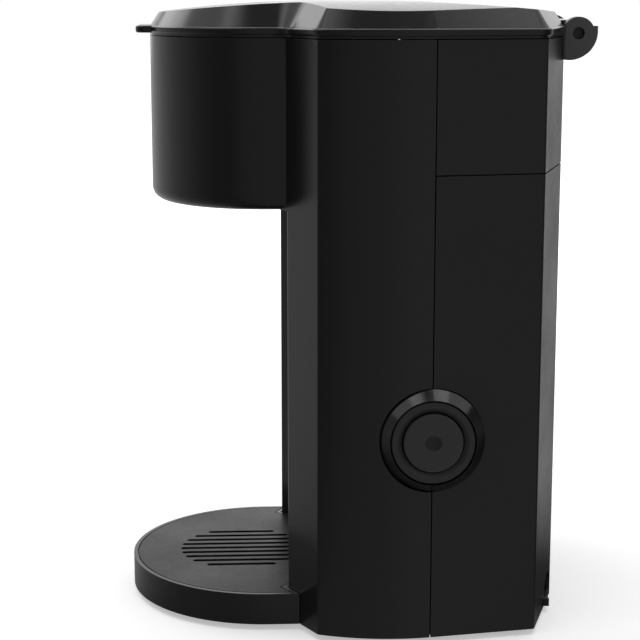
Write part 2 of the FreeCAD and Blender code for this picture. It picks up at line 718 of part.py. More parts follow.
def port_seal():
    """Soft collar on the deck that the lid's duct presses on."""
    low = DECK_Z + DECK_T
    high = TOP_Z - 0.2
    profile = [(low, PORT_R + FIT), (low, PORT_R + 4), (high, PORT_R + 1), (high, PORT_BORE)]
    profile += [(low + 1.2, PORT_BORE), (low + 1.2, PORT_R + FIT)]
    return turned(profile, at(0, PORT_Y), UP, RIGHT)


def heater_path(z, overrun):
    """U-shaped route of the flow heater, seen from above."""
    end = LEG_Y1 + overrun
    corners = [at(LEG_X, end, z), at(LEG_X, LEG_Y0 - LEG_X, z)]
    return corners + [mirrored(corners[1]), mirrored(corners[0])]


def heater_body():
    """Aluminium flow heater: a water tube over the bore for the element."""
    bend = LEG_X - 0.01
    tube = bent_rod(heater_path(WATER_Z, 0), bend, HEAT_TUBE_R)
    shell = bent_rod(heater_path(ELEMENT_Z, 0), bend, ELEMENT_SHELL_R)
    middle = (WATER_Z + ELEMENT_Z) / 2
    web = bent_rod(heater_path(middle, 0), bend, 0.45 * BORE_GAP)
    noses = []
    for x in (LEG_X, -LEG_X):
        noses.append(rod(at(x, LEG_Y1 - 1, WATER_Z), BACK, SPIGOT_R, 8))
    body = joined([tube, shell, web] + noses)
    body = body.cut(bent_rod(heater_path(WATER_Z, 10), bend, SPIGOT_BORE))
    return body.cut(bent_rod(heater_path(ELEMENT_Z, 10), bend, ELEMENT_R + 0.1))


def heating_element():
    """Sheathed element inside the heater, with a terminal blade at each end."""
    core = bent_rod(heater_path(ELEMENT_Z, 5), LEG_X - 0.01, ELEMENT_R)
    low, high = ELEMENT_Z - BLADE_T / 2, ELEMENT_Z + BLADE_T / 2
    blade = box(LEG_X - BLADE_W / 2, LEG_X + BLADE_W / 2, LEG_Y1 + 4, LEG_Y1 + 4 + BLADE_L, low, high)
    blades = both_sides(blade)
    return joined([core] + blades)


def bracket_screw_points():
    x = LEG_X + BRACKET_ARM + 0.55 * BRACKET_FOOT
    return [(x, BRACKET_Y), (-x, BRACKET_Y)]


def heater_bracket():
    """Folded sheet that carries the heater above the bottom cover."""
    half = LEG_X + BRACKET_ARM
    low, high = BRACKET_Y - BRACKET_W / 2, BRACKET_Y + BRACKET_W / 2
    top = box(-half, half, low, high, BRACKET_Z - SHEET, BRACKET_Z)
    legs = both_sides(box(half - SHEET, half, low, high, COVER_Z, BRACKET_Z))
    feet = both_sides(box(half - SHEET, half + BRACKET_FOOT, low, high, COVER_Z, COVER_Z + SHEET))
    body = joined([top] + legs + feet)
    for x, y in bracket_screw_points():
        body = body.cut(rod(at(x, y, COVER_Z - 1), UP, SCREW_R + 0.1, SHEET + 2))
    return body


def bracket_screws():
    """Screws that hold the heater bracket down."""
    found = []
    for x, y in bracket_screw_points():
        seat = COVER_Z + SHEET
        shank = rod(at(x, y, seat - SHEET - COVER_T + 0.6), UP, SCREW_R, SHEET + COVER_T - 0.6)
        found.append(shank.fuse(rod(at(x, y, seat), UP, SCREW_HEAD_R, SCREW_HEAD_T)))
    return found


STAT_Z = WATER_Z + HEAT_TUBE_R + 0.1


def thermostat_plate():
    """Sheet across both legs of the heater, which carries the thermostat and the fuse."""
    half = LEG_X + 4
    return box(-half, half, LEG_Y0 - 2, LEG_Y1, STAT_Z, STAT_Z + SHEET)


def thermostat():
    base = STAT_Z + SHEET
    middle = (LEG_Y0 - 2 + LEG_Y1) / 2
    can = rod(at(STAT_X, middle, base), UP, STAT_R, STAT_H)
    tops = [e for e in can.Edges if e.BoundBox.ZMin > base + STAT_H - 1e-6]
    can = can.makeChamfer(1.0, tops)
    tabs = []
    for x in (STAT_X + TAB_PITCH, STAT_X - TAB_PITCH):
        tabs.append(box(x - 0.5, x + 0.5, middle - 3, middle + 3, base + STAT_H, base + STAT_H + TAB_H))
    return joined([can] + tabs)


def thermal_fuse():
    """Fuse in a sleeve, lying on the plate."""
    middle = (LEG_Y0 - 2 + LEG_Y1) / 2
    body = rod(at(14, middle - 8, STAT_Z + SHEET + 2.7), BACK, 2.6, 16)
    lead = rod(at(14, middle - 13, STAT_Z + SHEET + 2.7), BACK, 0.6, 26)
    return body.fuse(lead)


def cold_hose():
    """Hose from the tank's spigot down to the heater."""
    top = TANK_Z + SPLIT / 2 - 3.2
    path = [at(-LEG_X, LEG_Y1 + 0.3, WATER_Z), at(-LEG_X, SPIGOT_Y, WATER_Z), at(-LEG_X, SPIGOT_Y, top)]
    return bent_tube(path, HOSE_BEND, HOSE_R, HOSE_BORE)


def riser_hose():
    """Hose that lifts the hot water from the heater to the port in the deck."""
    low = WATER_Z + 3 * HOSE_BEND
    high = TANK_Z - 2.5 * HOSE_BEND
    path = [at(LEG_X, LEG_Y1 + 0.3, WATER_Z), at(LEG_X, SPIGOT_Y, WATER_Z), at(LEG_X, SPIGOT_Y, low)]
    path += [at(0, PORT_Y, high), at(0, PORT_Y, DECK_Z - 3.3)]
    return bent_tube(path, HOSE_BEND, HOSE_R, HOSE_BORE)


def hose_clips():
    """Spring clips round the four hose ends."""
    rings = []
    for x in (LEG_X, -LEG_X):
        start = at(x, LEG_Y1 + 2, WATER_Z)
        rings.append(rod(start, BACK, HOSE_R + 1.1, 3).cut(rod(start, BACK, HOSE_R + 0.1, 3)))
    tops = [at(-LEG_X, SPIGOT_Y, TANK_Z - 9), at(0, PORT_Y, DECK_Z - 9)]
    for start in tops:
        rings.append(rod(start, UP, HOSE_R + 1.1, 3).cut(rod(start, UP, HOSE_R + 0.1, 3)))
    return rings


def tank_strainer():
    """Dome of slots over the outlet in the tank's floor."""
    base = TANK_Z + SPLIT / 2 + WALL
    profile = [(0, SPIGOT_BORE + 1), (0, 8), (5, 7), (6.5, 5), (6.5, 0), (5.5, 0), (5.5, 4.5), (0.8, 6.5)]
    profile += [(0.8, SPIGOT_BORE + 1)]
    body = turned(profile, at(-LEG_X, SPIGOT_Y, base), UP, RIGHT)
    for k in range(6):
        slot = box(-0.6, 0.6, 5, 9, 1.5, 4.5)
        slot.rotate(at(0, 0), UP, 60 * k)
        slot.translate(at(-LEG_X, SPIGOT_Y, base))
        body = body.cut(slot)
    return body


def mug_base():
    """Front of the base: the skirt and the deck that takes the drip tray."""
    body = prism(plate_plan(0), FOOT_H, PLATE_Z)
    body = body.cut(prism(bay_plan(-FIT), FOOT_H - 1, PLATE_Z + 1))
    body = [s for s in body.Solids if s.CenterOfMass.y < WING.y][0]
    hollow = prism(plate_plan(WALL), FOOT_H - 1, PLATE_Z - GRID_T - 3)
    body = body.cut(hollow)
    body = body.cut(grid_space(0))
    tray = rod(at(0, DRIP_Y, FOOT_H), UP, TRAY_R + FIT, PLATE_T)
    rim = rod(at(0, DRIP_Y, PLATE_Z - GRID_T - TRAY_WALL - 0.1), UP, TRAY_R + 4 + FIT, PLATE_T)
    return body.cut(tray).cut(rim)


def grid_space(gap):
    """Room for the drip grid in the top of the mug plate."""
    body = prism(plate_plan(PLATE_RIM + gap), PLATE_Z - GRID_T, PLATE_Z + 1)
    body = body.cut(prism(bay_plan(-FIT - PLATE_RIM - gap), FOOT_H, PLATE_Z + 2))
    return [s for s in body.Solids if s.CenterOfMass.y < WING.y][0]


def drip_grid():
    """Plate under the mug, slotted over the tray."""
    body = grid_space(SPLIT).common(box(-REACH, REACH, -REACH, REACH, 0, PLATE_Z))
    for k in range(SLOTS):
        x = (k - (SLOTS - 1) / 2) * SLOT_PITCH
        half = math.sqrt(max(SLOT_R ** 2 - x ** 2, 4.0))
        slot = box(x - SLOT_W / 2, x + SLOT_W / 2, DRIP_Y - half, DRIP_Y + half, 0, PLATE_Z + 1)
        ends = [e for e in slot.Edges if e.BoundBox.ZLength > 1]
        body = body.cut(slot.makeFillet(0.49 * SLOT_W, ends))
    return body


def drip_tray():
    """Shallow cup under the grid that catches the drips."""
    top = PLATE_Z - GRID_T - 0.1
    low = top - TRAY_DEPTH
    profile = [(low, 0), (low, TRAY_R - 1), (low + 1, TRAY_R), (top - TRAY_WALL, TRAY_R)]
    profile += [(top - TRAY_WALL, TRAY_R + 4), (top, TRAY_R + 4), (top, TRAY_R - TRAY_WALL)]
    profile += [(low + TRAY_WALL, TRAY_R - TRAY_WALL), (low + TRAY_WALL, 0)]
    return turned(profile, at(0, DRIP_Y), UP, RIGHT)




def cover_screw_points():
    points = []
    for x, y in COVER_BOSSES:
        points += [(x, y), (-x, y)]
    return points


def bottom_cover():
    """Plate that closes the body from below."""
    plate = cover_space(0).common(box(-REACH, REACH, -REACH, REACH, FOOT_H, COVER_Z)).removeSplitter()
    for x, y in cover_screw_points():
        plate = plate.cut(rod(at(x, y, 0), UP, SCREW_R + 0.1, COVER_Z))
        plate = plate.cut(rod(at(x, y, 0), UP, SCREW_HEAD_R + 0.2, FOOT_H + SCREW_HEAD_T))
    for x, y in bracket_screw_points():
        plate = plate.cut(rod(at(x, y, FOOT_H + 0.5), UP, SCREW_R + 0.1, COVER_T))
    return plate


def cover_screws():
    return [screw(x, y, FOOT_H + SCREW_HEAD_T) for x, y in cover_screw_points()]


def rubber_feet():
    feet = []
    for x, y, turn in (FRONT_FOOT, REAR_FOOT):
        foot = box(-FOOT_L / 2, FOOT_L / 2, -FOOT_W / 2, FOOT_W / 2, 0, FOOT_H)
        foot = foot.makeFillet(0.45 * FOOT_W, [e for e in foot.Edges if e.BoundBox.ZLength > 1])
        foot = foot.makeChamfer(0.6, [e for e in foot.Edges if e.BoundBox.ZMax < 1e-6])
        foot.rotate(at(0, 0), UP, turn)
        foot.translate(at(x, y))
        feet += both_sides(foot)
    return feet


def cord_gland():
    """Block behind the outlet that grips the cord; the cord itself is left out."""
    y1 = REAR_Y - 2 * WALL - (REAR_Y - REAR_CORNER_Y) / 4
    y0 = y1 - GLAND_L
    half = OUTLET_W / 2 + GLAND_EDGE
    body = outlet_space(FIT, y0, y1)
    flange = box(OUTLET_X - half, OUTLET_X + half, y0, y0 + GLAND_FLANGE, COVER_Z, COVER_Z + OUTLET_H + GLAND_EDGE)
    level = FOOT_H + OUTLET_LOW + OUTLET_H / 2
    return joined([body, flange]).cut(rod(at(OUTLET_X, y0 - 1, level), BACK, CORD_R, GLAND_L + 2))


def button_bezel():
    """Raised ring round the button, clipped into both shells across the seam."""
    top = BEZEL_OUT
    flange = -BEZEL_DEPTH
    profile = [(flange - 2, RING_R + 0.5), (flange - 2, BEZEL_R + 3)]
    profile += [(flange, BEZEL_R + 3), (flange, BEZEL_R)]
    profile += [(0, BEZEL_R), (top, BEZEL_TOP_R), (top, RING_R + 0.5)]
    return turned(profile, BUTTON_BASE, RIGHT, UP)


def button_ring():
    """Dished ring between the bezel and the cap."""
    top = BEZEL_OUT - 0.3
    back = -BEZEL_DEPTH - 2
    profile = [(back, RING_IN_R), (back, RING_R), (top - 0.4, RING_R), (top, RING_R - 0.4)]
    profile += [(top, RING_FLAT_R), (top - 1.0, RING_IN_R)]
    return turned(profile, BUTTON_BASE, RIGHT, UP)


CARRIER_X = -BEZEL_DEPTH - 2 - CARRIER_GAP


def button_cap():
    """Push cap with a finger dimple and a stem to the switch."""
    top = BEZEL_OUT + 0.2
    under = top - 4.0
    profile = [(CARRIER_X - CARRIER_T - 2, 0), (CARRIER_X - CARRIER_T - 2, STEM_R), (under, STEM_R)]
    profile += [(under, CAP_R - 1.5), (-BEZEL_DEPTH / 2, CAP_R - 1.5), (-BEZEL_DEPTH / 2, CAP_R)]
    profile += [(top - 0.7, CAP_R), (top - 0.2, CAP_R - 0.2), (top, CAP_R - 0.7), (top, 0)]
    body = turned(profile, BUTTON_BASE, RIGHT, UP)
    ball = (DIMPLE_R ** 2 + DIMPLE_DEPTH ** 2) / (2 * DIMPLE_DEPTH)
    return body.cut(Part.makeSphere(ball, BUTTON_BASE + RIGHT * (top + ball - DIMPLE_DEPTH)))


def switch_carrier():
    """Plate on three posts that holds the switch behind the bezel."""
    plate = rod(BUTTON_BASE + RIGHT * (CARRIER_X - CARRIER_T), RIGHT, CARRIER_R, CARRIER_T)
    posts = []
    for k in range(3):
        turn = math.radians(90 + 120 * k)
        out = (BACK * math.cos(turn) + UP * math.sin(turn)) * (BEZEL_R - 1)
        posts.append(rod(BUTTON_BASE + RIGHT * (CARRIER_X - 0.5) + out, RIGHT, 2.0, CARRIER_GAP + 0.5))
    body = joined([plate] + posts)
    return body.cut(rod(BUTTON_BASE + RIGHT * (CARRIER_X - 10), RIGHT, STEM_R + 0.4, 20))


def led_board():
    """Ring board on the carrier with the lamps that light the ring."""
    base = BUTTON_BASE + RIGHT * CARRIER_X
    board = rod(base, RIGHT, BEZEL_R - 4, SHEET)
    board = board.cut(rod(base - RIGHT, RIGHT, STEM_R + 1, SHEET + 2))
    lamps = []
    for k in range(4):
        turn = math.radians(45 + 90 * k)
        out = (BACK * math.cos(turn) + UP * math.sin(turn)) * ((RING_R + RING_IN_R) / 2)
        lamps.append(rod(base + RIGHT * (SHEET - 0.2) + out, RIGHT, 1.5, 2.0))
    return joined([board] + lamps)


def switch_body():
    """Switch block behind the carrier, with a well for the stem and two blades."""
    x1 = BUTTON_BASE.x + CARRIER_X - CARRIER_T
    half = SWITCH_W / 2
    body = box(x1 - SWITCH_L, x1, SEAM_Y - half, SEAM_Y + half, BUTTON_Z - half, BUTTON_Z + half)
    body = body.makeFillet(1.0, [e for e in body.Edges if e.BoundBox.XLength > SWITCH_L / 2])
    well = rod(at(x1 - SWITCH_L + 4, SEAM_Y, BUTTON_Z), RIGHT, STEM_R + 0.4, SWITCH_L)
    blades = [box(x1 - SWITCH_L - 7, x1 - SWITCH_L + 1, SEAM_Y + s * 5 - 2, SEAM_Y + s * 5 + 2,
                  BUTTON_Z - 0.4, BUTTON_Z + 0.4) for s in (1, -1)]
    return joined([body.cut(well)] + blades)


BLOCK_X = BODY_HALF - 29.4
BLOCK_Y = BRACKET_Y - 22.0
BLOCK_W = 14.0
BLOCK_L = 20.0
BLOCK_H = 12.0
BLOCK_PITCH = 6.5
LEAD_RISE = 30.0
LEAD_SWING = 11.0
LEAD_CLEAR = 0.2


def terminal_block():
    """Block on the bottom cover where the cord's cores join the leads."""
    x0, x1 = BLOCK_X - BLOCK_W / 2, BLOCK_X + BLOCK_W / 2
    body = box(x0, x1, BLOCK_Y - BLOCK_L / 2, BLOCK_Y + BLOCK_L / 2, COVER_Z, COVER_Z + BLOCK_H)
    for k in range(3):
        y = BLOCK_Y + BLOCK_PITCH * (k - 1)
        body = body.cut(rod(at(BLOCK_X, y, COVER_Z + 5), UP, LEAD_R + 0.7, BLOCK_H))
    return body


def lead(points):
    return bent_rod(points, 4 * LEAD_R, LEAD_R)


def switch_leads():
    """Leads from the terminal block up to the switch."""
    tip = BUTTON_BASE.x + CARRIER_X - CARRIER_T - SWITCH_L - BLADE_L / 2 + 0.5
    leads = []
    for side, y in ((1, BLOCK_Y + BLOCK_PITCH), (-1, BLOCK_Y)):
        blade = SEAM_Y + side * 5
        lift = COVER_Z + LEAD_RISE
        route_points = [at(BLOCK_X, y, COVER_Z + BLOCK_H + LEAD_CLEAR), at(BLOCK_X, y, lift)]
        leads.append(lead(route_points + [at(tip, blade, lift), at(tip, blade, BUTTON_Z - 0.7)]))
    return leads


def element_leads():
    """Leads from the element's blades to the thermostat and to the terminal block."""
    base = STAT_Z + SHEET + STAT_H
    middle = (LEG_Y0 - 2 + LEG_Y1) / 2
    blade = at(LEG_X + BLADE_W / 2 + LEAD_CLEAR, LEG_Y1 + 5 + BLADE_L / 2, ELEMENT_Z)
    level = base + 14
    turn = at(-blade.x - LEAD_SWING, blade.y, ELEMENT_Z)
    tab = at(STAT_X - TAB_PITCH, middle, base + TAB_H + LEAD_CLEAR)
    left = lead([mirrored(blade), turn, at(turn.x, turn.y, level), at(tab.x, tab.y, level), tab])
    corner = at(BLOCK_X + BLOCK_W / 2 + 2, blade.y, ELEMENT_Z)
    over = at(corner.x, BLOCK_Y - BLOCK_PITCH, ELEMENT_Z + 8)
    entry = at(BLOCK_X, over.y, COVER_Z + BLOCK_H + LEAD_CLEAR)
    right = lead([blade, corner, over, at(entry.x, entry.y, over.z), entry])
    return [left, right]


def main():
    parts = {
        "front_housing": front_housing(),
        "rear_housing": rear_housing(),
        "water_tank": water_tank(),
        "tank_strainer": tank_strainer(),
        "bottom_cover": bottom_cover(),
        "cover_screws": cover_screws(),
        "rubber_feet": rubber_feet(),
        "mug_base": mug_base(),
        "drip_tray": drip_tray(),
        "drip_grid": drip_grid(),
        "lid_shell": lid_shell(),
        "lid_liner": lid_liner(),
        "lid_screws": lid_screws(),
        "lid_duct": lid_duct(),
        "lid_seal": lid_seal(),
        "shower_head": shower_head(),
        "hinge_pin": hinge_pin(),
        "top_deck": top_deck(),
        "water_port": water_port(),
        "port_seal": port_seal(),
        "brew_basket": brew_basket(),
        "mesh_filter": mesh_filter(),
        "cold_hose": cold_hose(),
        "riser_hose": riser_hose(),
        "hose_clips": hose_clips(),
        "heater_body": heater_body(),
        "heating_element": heating_element(),
        "heater_bracket": heater_bracket(),
        "bracket_screws": bracket_screws(),
        "thermostat_plate": thermostat_plate(),
        "thermostat": thermostat(),
        "thermal_fuse": thermal_fuse(),
        "button_bezel": button_bezel(),
        "button_ring": button_ring(),
        "button_cap": button_cap(),
        "switch_carrier": switch_carrier(),
        "led_board": led_board(),
        "switch_body": switch_body(),
        "terminal_block": terminal_block(),
        "switch_leads": switch_leads(),
        "element_leads": element_leads(),
        "cord_gland": cord_gland(),
    }
    os.makedirs("parts", exist_ok=True)
    for name, shape in parts.items():
        if isinstance(shape, list):
            shape = Part.makeCompound(shape)
        shape.exportStep("parts/" + name + ".step")


main()
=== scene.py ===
"""Looks of the single-cup drip coffee maker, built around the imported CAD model.

Lengths are in metres. Directions are in degrees round the object, counted from +X.
"""
import json
import math

import bpy
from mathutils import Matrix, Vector


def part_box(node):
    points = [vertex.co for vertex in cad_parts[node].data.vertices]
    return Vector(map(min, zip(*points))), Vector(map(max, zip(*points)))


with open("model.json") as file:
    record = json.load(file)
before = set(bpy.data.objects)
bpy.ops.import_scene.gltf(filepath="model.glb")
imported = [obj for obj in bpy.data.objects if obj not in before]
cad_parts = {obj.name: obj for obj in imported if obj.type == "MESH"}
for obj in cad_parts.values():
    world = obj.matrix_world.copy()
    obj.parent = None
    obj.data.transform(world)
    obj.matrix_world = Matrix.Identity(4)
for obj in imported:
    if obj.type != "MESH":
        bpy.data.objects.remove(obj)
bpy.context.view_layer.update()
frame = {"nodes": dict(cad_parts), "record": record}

# Camera solved from the photograph, with its lens and sensor in millimetres
CAMERA_AT = (0.7015, -0.0484, 0.2519)
CAMERA_TILT = 78.95
CAMERA_TURN = 87.2
CAMERA_LENS = 95.6
CAMERA_SENSOR = 36.0
CAMERA_NEAR = 0.01
CAMERA_FAR = 50.0

# Pale floor, and the glow that lifts it to white between two distances from the origin
FLOOR_HALF = 6.0
LIFT_BETWEEN = (0.16, 0.7)
LIFT_LEVELS = (0.42, 0.9)

# World: its light on surfaces, and what the camera and reflections see of it
WORLD_LIGHT = 0.45
WORLD_WHITE = 1.0

# Grey drum round the stage, with a pinhole in the middle of its floor and of its top
DRUM_R = 2.2
PINHOLE_R = 0.001
DRUM_LOW = 0.0008
DRUM_HIGH = 1.2
DRUM_STEPS = 64
# Depth below the drum's highest ring that counts as its top
TOP_DEPTH = 0.01
# Brightness of the drum by direction
DRUM_LEVELS = [(-180, 0.6), (-150, 0.58), (-125, 0.52), (-104, 0.38), (-84, 0.25), (-62, 0.1),
               (-38, 0.08), (-20, 0.2), (0, 0.23), (15, 0.3), (42, 0.27), (65, 0.04), (95, 0.05),
               (125, 0.5), (150, 0.6)]
# Each pair is a direction where the drum is clear and one where it is solid
WALL_FADE = (175, 155)
TOP_FADES = ((-62, -34), (54, 40))

# Colours of the stage, with their alpha
WHITE = (1.0, 1.0, 1.0, 1.0)
FLOOR_GREY = (0.82, 0.82, 0.82, 1.0)

# Colours that more than one finish uses
BLACK = (0.0062, 0.0062, 0.0066)
RUBBER_BLACK = (0.012, 0.012, 0.012)
STEEL = (0.5, 0.5, 0.5)

# Most values of a noise texture lie between these
NOISE_RANGE = (0.3, 0.7)

# Moulded plastic: how its roughness spreads in clouds, and what its specks add to it
PLASTIC_IOR = 1.5
CLOUD_ROUGH = (0.86, 1.16)
SPECK_RANGE = (0.35, 0.7)
SPECK_ROUGH = (-0.015, 0.025)
# Worn edges: their radius, the noise over which the wear grows, its share and what it roughens
WEAR_RADIUS = 0.0007
WEAR_RANGE = (0.42, 0.62)
WEAR_SHARE = (0.25, 1.0)
WEAR_ROUGH = 0.06
BEVEL_SAMPLES = 4
# Cosine of the bend at which an edge starts to count, and of the bend at which it counts fully
EDGE_COSINES = (0.99, 0.86)

# Steel mesh: scale of a wave texture with its bands about a metre apart, and where wires show
WAVE_SCALE = 0.31
WIRE_RANGE = (0.45, 0.75)

# The hinge lugs of the tank turn paler over this stretch of Y: painted sheen, a paler colour in
# place of the reflection they catch
LUG_SHEEN_FADE = (0.0805, 0.0815)
LUG_PAINTED_SHEEN = (0.05, 0.05, 0.051)

# Finger dimple in the middle of the button cap, coloured darker as painted shade, and the share of
# its radius that is all dark
CAP_LOW, CAP_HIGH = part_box("button_cap")
CAP_CENTRE = [0.5 * (low + high) for low, high in zip(CAP_LOW, CAP_HIGH)]
DIMPLE_R = 0.0033
DIMPLE_CORE = 0.85

# Bends up to this angle are shaded smooth, or up to the wider one on the button's round pieces
SMOOTH_ANGLE = 28
ROUND_ANGLE = 40
ROUND_NODES = {"button_bezel", "button_ring", "button_cap"}


def add_node(tree, kind, inputs):
    """New node; each input gets its value, or a link where that is another node's output."""
    node = tree.nodes.new(kind)
    for key, value in inputs.items():
        if isinstance(value, bpy.types.NodeSocket):
            tree.links.new(value, node.inputs[key])
        else:
            node.inputs[key].default_value = value
    return node


def empty_tree(owner):
    """Cleared node tree of a material or of the world."""
    owner.use_nodes = True
    owner.node_tree.nodes.clear()
    return owner.node_tree


def new_material(name):
    material = bpy.data.materials.new(name)
    return material, empty_tree(material)


def surface(tree, inputs):
    """End a material's tree with a Principled shader."""
    shader = add_node(tree, "ShaderNodeBsdfPrincipled", inputs)
    add_node(tree, "ShaderNodeOutputMaterial", {"Surface": shader.outputs["BSDF"]})


def mixed_output(tree, kind, factor, first, second):
    """End a tree with one shader where the factor is 0 and another where it is 1."""
    mix = add_node(tree, "ShaderNodeMixShader", {"Fac": factor, 1: first, 2: second})
    add_node(tree, kind, {"Surface": mix.outputs["Shader"]})


def object_place(tree):
    """Place of a point in the object's own coordinates."""
    return tree.nodes.new("ShaderNodeTexCoord").outputs["Object"]


def object_axes(tree):
    """The same place, as X, Y and Z."""
    return add_node(tree, "ShaderNodeSeparateXYZ", {"Vector": object_place(tree)}).outputs


def noise(tree, scale, detail=3.0, roughness=0.55, stretch=None):
    """Noise over the object's own coordinates, with its scale per metre."""
    place = object_place(tree)
    if stretch is not None:
        mapping = add_node(tree, "ShaderNodeMapping", {"Vector": place, "Scale": stretch})
        place = mapping.outputs["Vector"]
    texture = add_node(tree, "ShaderNodeTexNoise", {
        "Vector": place,
        "Scale": scale,
        "Detail": detail,
        "Roughness": roughness,
    })
    return texture.outputs["Fac"]


def remap(tree, value, span, target=(0.0, 1.0)):
    """Carry a value from one span to another, held at the ends."""
    node = add_node(tree, "ShaderNodeMapRange", {
        "Value": value,
        "From Min": span[0],
        "From Max": span[1],
        "To Min": target[0],
        "To Max": target[1],
    })
    return node.outputs["Result"]


def math_node(tree, operation, *values):
    node = add_node(tree, "ShaderNodeMath", dict(enumerate(values)))
    node.operation = operation
    return node.outputs["Value"]


def vector_math(tree, operation, *vectors):
    node = add_node(tree, "ShaderNodeVectorMath", dict(enumerate(vectors)))
    node.operation = operation
    return node.outputs["Value"]


def tint(color, gain, lift=0.0):
    """A colour made darker, or paler up to white."""
    return tuple(min(1.0, gain * channel + lift) for channel in color)


def mix_colors(tree, factor, first, second):
    """The first colour where the factor is 0, and the second where it is 1."""
    node = tree.nodes.new("ShaderNodeMix")
    node.data_type = "RGBA"
    tree.links.new(factor, node.inputs["Factor"])
    sockets = [socket for socket in node.inputs if socket.type == "RGBA"]
    for socket, color in zip(sockets, (first, second)):
        if isinstance(color, bpy.types.NodeSocket):
            tree.links.new(color, socket)
        else:
            socket.default_value = (*color, 1.0)
    return [socket for socket in node.outputs if socket.type == "RGBA"][0]


def bump(tree, height, strength, depth, under=None):
    """Normal of a bumpy surface, on top of another bump where one is given."""
    inputs = {"Height": height, "Strength": strength, "Distance": depth}
    if under is not None:
        inputs["Normal"] = under
    return add_node(tree, "ShaderNodeBump", inputs).outputs["Normal"]


def edge_mask(tree, radius):
    """1 along edges, 0 on faces."""
    bevel = add_node(tree, "ShaderNodeBevel", {"Radius": radius})
    bevel.samples = BEVEL_SAMPLES
    geometry = tree.nodes.new("ShaderNodeNewGeometry")
    cosine = vector_math(tree, "DOT_PRODUCT", bevel.outputs["Normal"], geometry.outputs["Normal"])
    return remap(tree, cosine, EDGE_COSINES)


def painted_sheen_on_lugs(tree):
    """1 on the hinge lugs, behind the back of the tank, where a paler colour is painted as sheen.
    """
    return remap(tree, object_axes(tree)["Y"], LUG_SHEEN_FADE)


def painted_shade_in_dimple(tree):
    """1 in the finger dimple of the button cap, whose axis lies along X; its darker colour is
    painted shade.
    """
    flat = add_node(tree, "ShaderNodeMapping", {
        "Vector": object_place(tree),
        "Location": (0.0, -CAP_CENTRE[1], -CAP_CENTRE[2]),
        "Scale": (0.0, 1.0, 1.0),
    })
    away = vector_math(tree, "LENGTH", flat.outputs["Vector"])
    return remap(tree, away, (DIMPLE_R, DIMPLE_CORE * DIMPLE_R))


def plastic(name, color, rough, grain=1600.0, grain_depth=0.00001, edges=True, specular=0.5,
            painted_patch=None):
    """Moulded plastic: fine grain, soft waviness, uneven gloss and rubbed edges.

    Inner pieces go without the rubbed edges. A painted patch is a mask and the colour painted
    there, as sheen on the hinge lugs and as shade in the button's dimple.
    """
    material, tree = new_material(name)
    clouds = noise(tree, scale=24.0, detail=4.0, roughness=0.6)
    specks = noise(tree, scale=420.0, detail=2.0, roughness=0.5)
    roughness = remap(tree, clouds, NOISE_RANGE, [rough * share for share in CLOUD_ROUGH])
    speckle = remap(tree, specks, SPECK_RANGE, SPECK_ROUGH)
    roughness = math_node(tree, "ADD", roughness, speckle)
    if edges:
        uneven = remap(tree, clouds, WEAR_RANGE, WEAR_SHARE)
        wear = math_node(tree, "MULTIPLY", edge_mask(tree, WEAR_RADIUS), uneven)
        dulling = math_node(tree, "MULTIPLY", wear, WEAR_ROUGH)
        roughness = math_node(tree, "ADD", roughness, dulling)
        shade = mix_colors(tree, wear, color, tint(color, gain=1.9, lift=0.004))
    else:
        shade = mix_colors(tree, clouds, tint(color, gain=0.86), color)
    # Painted light: the patch colours sheen or shade into the plastic
    if painted_patch is not None:
        mask, painted_color = painted_patch
        shade = mix_colors(tree, mask(tree), shade, painted_color)
    wave = noise(tree, scale=14.0, detail=1.0, roughness=0.4)
    fine = noise(tree, scale=grain, detail=2.0, roughness=0.5)
    wavy = bump(tree, wave, strength=0.12, depth=0.0004)
    surface(tree, {
        "Base Color": shade,
        "Roughness": roughness,
        "IOR": PLASTIC_IOR,
        "Specular IOR Level": specular,
        "Normal": bump(tree, fine, strength=0.35, depth=grain_depth, under=wavy),
    })
    return material


def rubber(name, color, rough=0.62):
    """Dull rubber with a dusty bloom."""
    material, tree = new_material(name)
    clouds = noise(tree, scale=60.0, detail=4.0, roughness=0.6)
    fine = noise(tree, scale=1100.0, detail=3.0, roughness=0.6)
    surface(tree, {
        "Base Color": mix_colors(tree, clouds, color, tint(color, gain=1.5, lift=0.006)),
        "Roughness": remap(tree, clouds, NOISE_RANGE, (rough - 0.08, rough + 0.1)),
        "Normal": bump(tree, fine, strength=0.5, depth=0.00003),
    })
    return material


def metal(name, color, rough, stretch):
    """Bare metal with fine marks; a low stretch along an axis draws them out that way."""
    material, tree = new_material(name)
    marks = noise(tree, scale=260.0, detail=4.0, roughness=0.65, stretch=stretch)
    clouds = noise(tree, scale=45.0, detail=3.0, roughness=0.6)
    surface(tree, {
        "Base Color": mix_colors(tree, clouds, tint(color, gain=0.72), color),
        "Metallic": 1.0,
        "Roughness": remap(tree, marks, NOISE_RANGE, (rough - 0.09, rough + 0.12)),
        "Normal": bump(tree, marks, strength=0.3, depth=0.00002),
    })
    return material


def mesh_metal(name, color, pitch):
    """Woven steel mesh: two crossed sets of wires, with painted shade in the gaps between them."""
    material, tree = new_material(name)
    wires = []
    for direction in ("X", "Z"):
        wave = add_node(tree, "ShaderNodeTexWave", {
            "Vector": object_place(tree),
            "Scale": WAVE_SCALE / pitch,
            "Distortion": 0.15,
        })
        wave.bands_direction = direction
        wires.append(wave.outputs["Fac"])
    weave = math_node(tree, "MAXIMUM", *wires)
    cover = remap(tree, weave, WIRE_RANGE)
    # Painted shade: the gaps between the wires are coloured dark
    surface(tree, {
        "Base Color": mix_colors(tree, cover, tint(color, gain=0.12), color),
        "Metallic": 1.0,
        "Roughness": remap(tree, noise(tree, scale=90.0), NOISE_RANGE, (0.26, 0.44)),
        "Normal": bump(tree, weave, strength=0.7, depth=0.0002),
    })
    return material


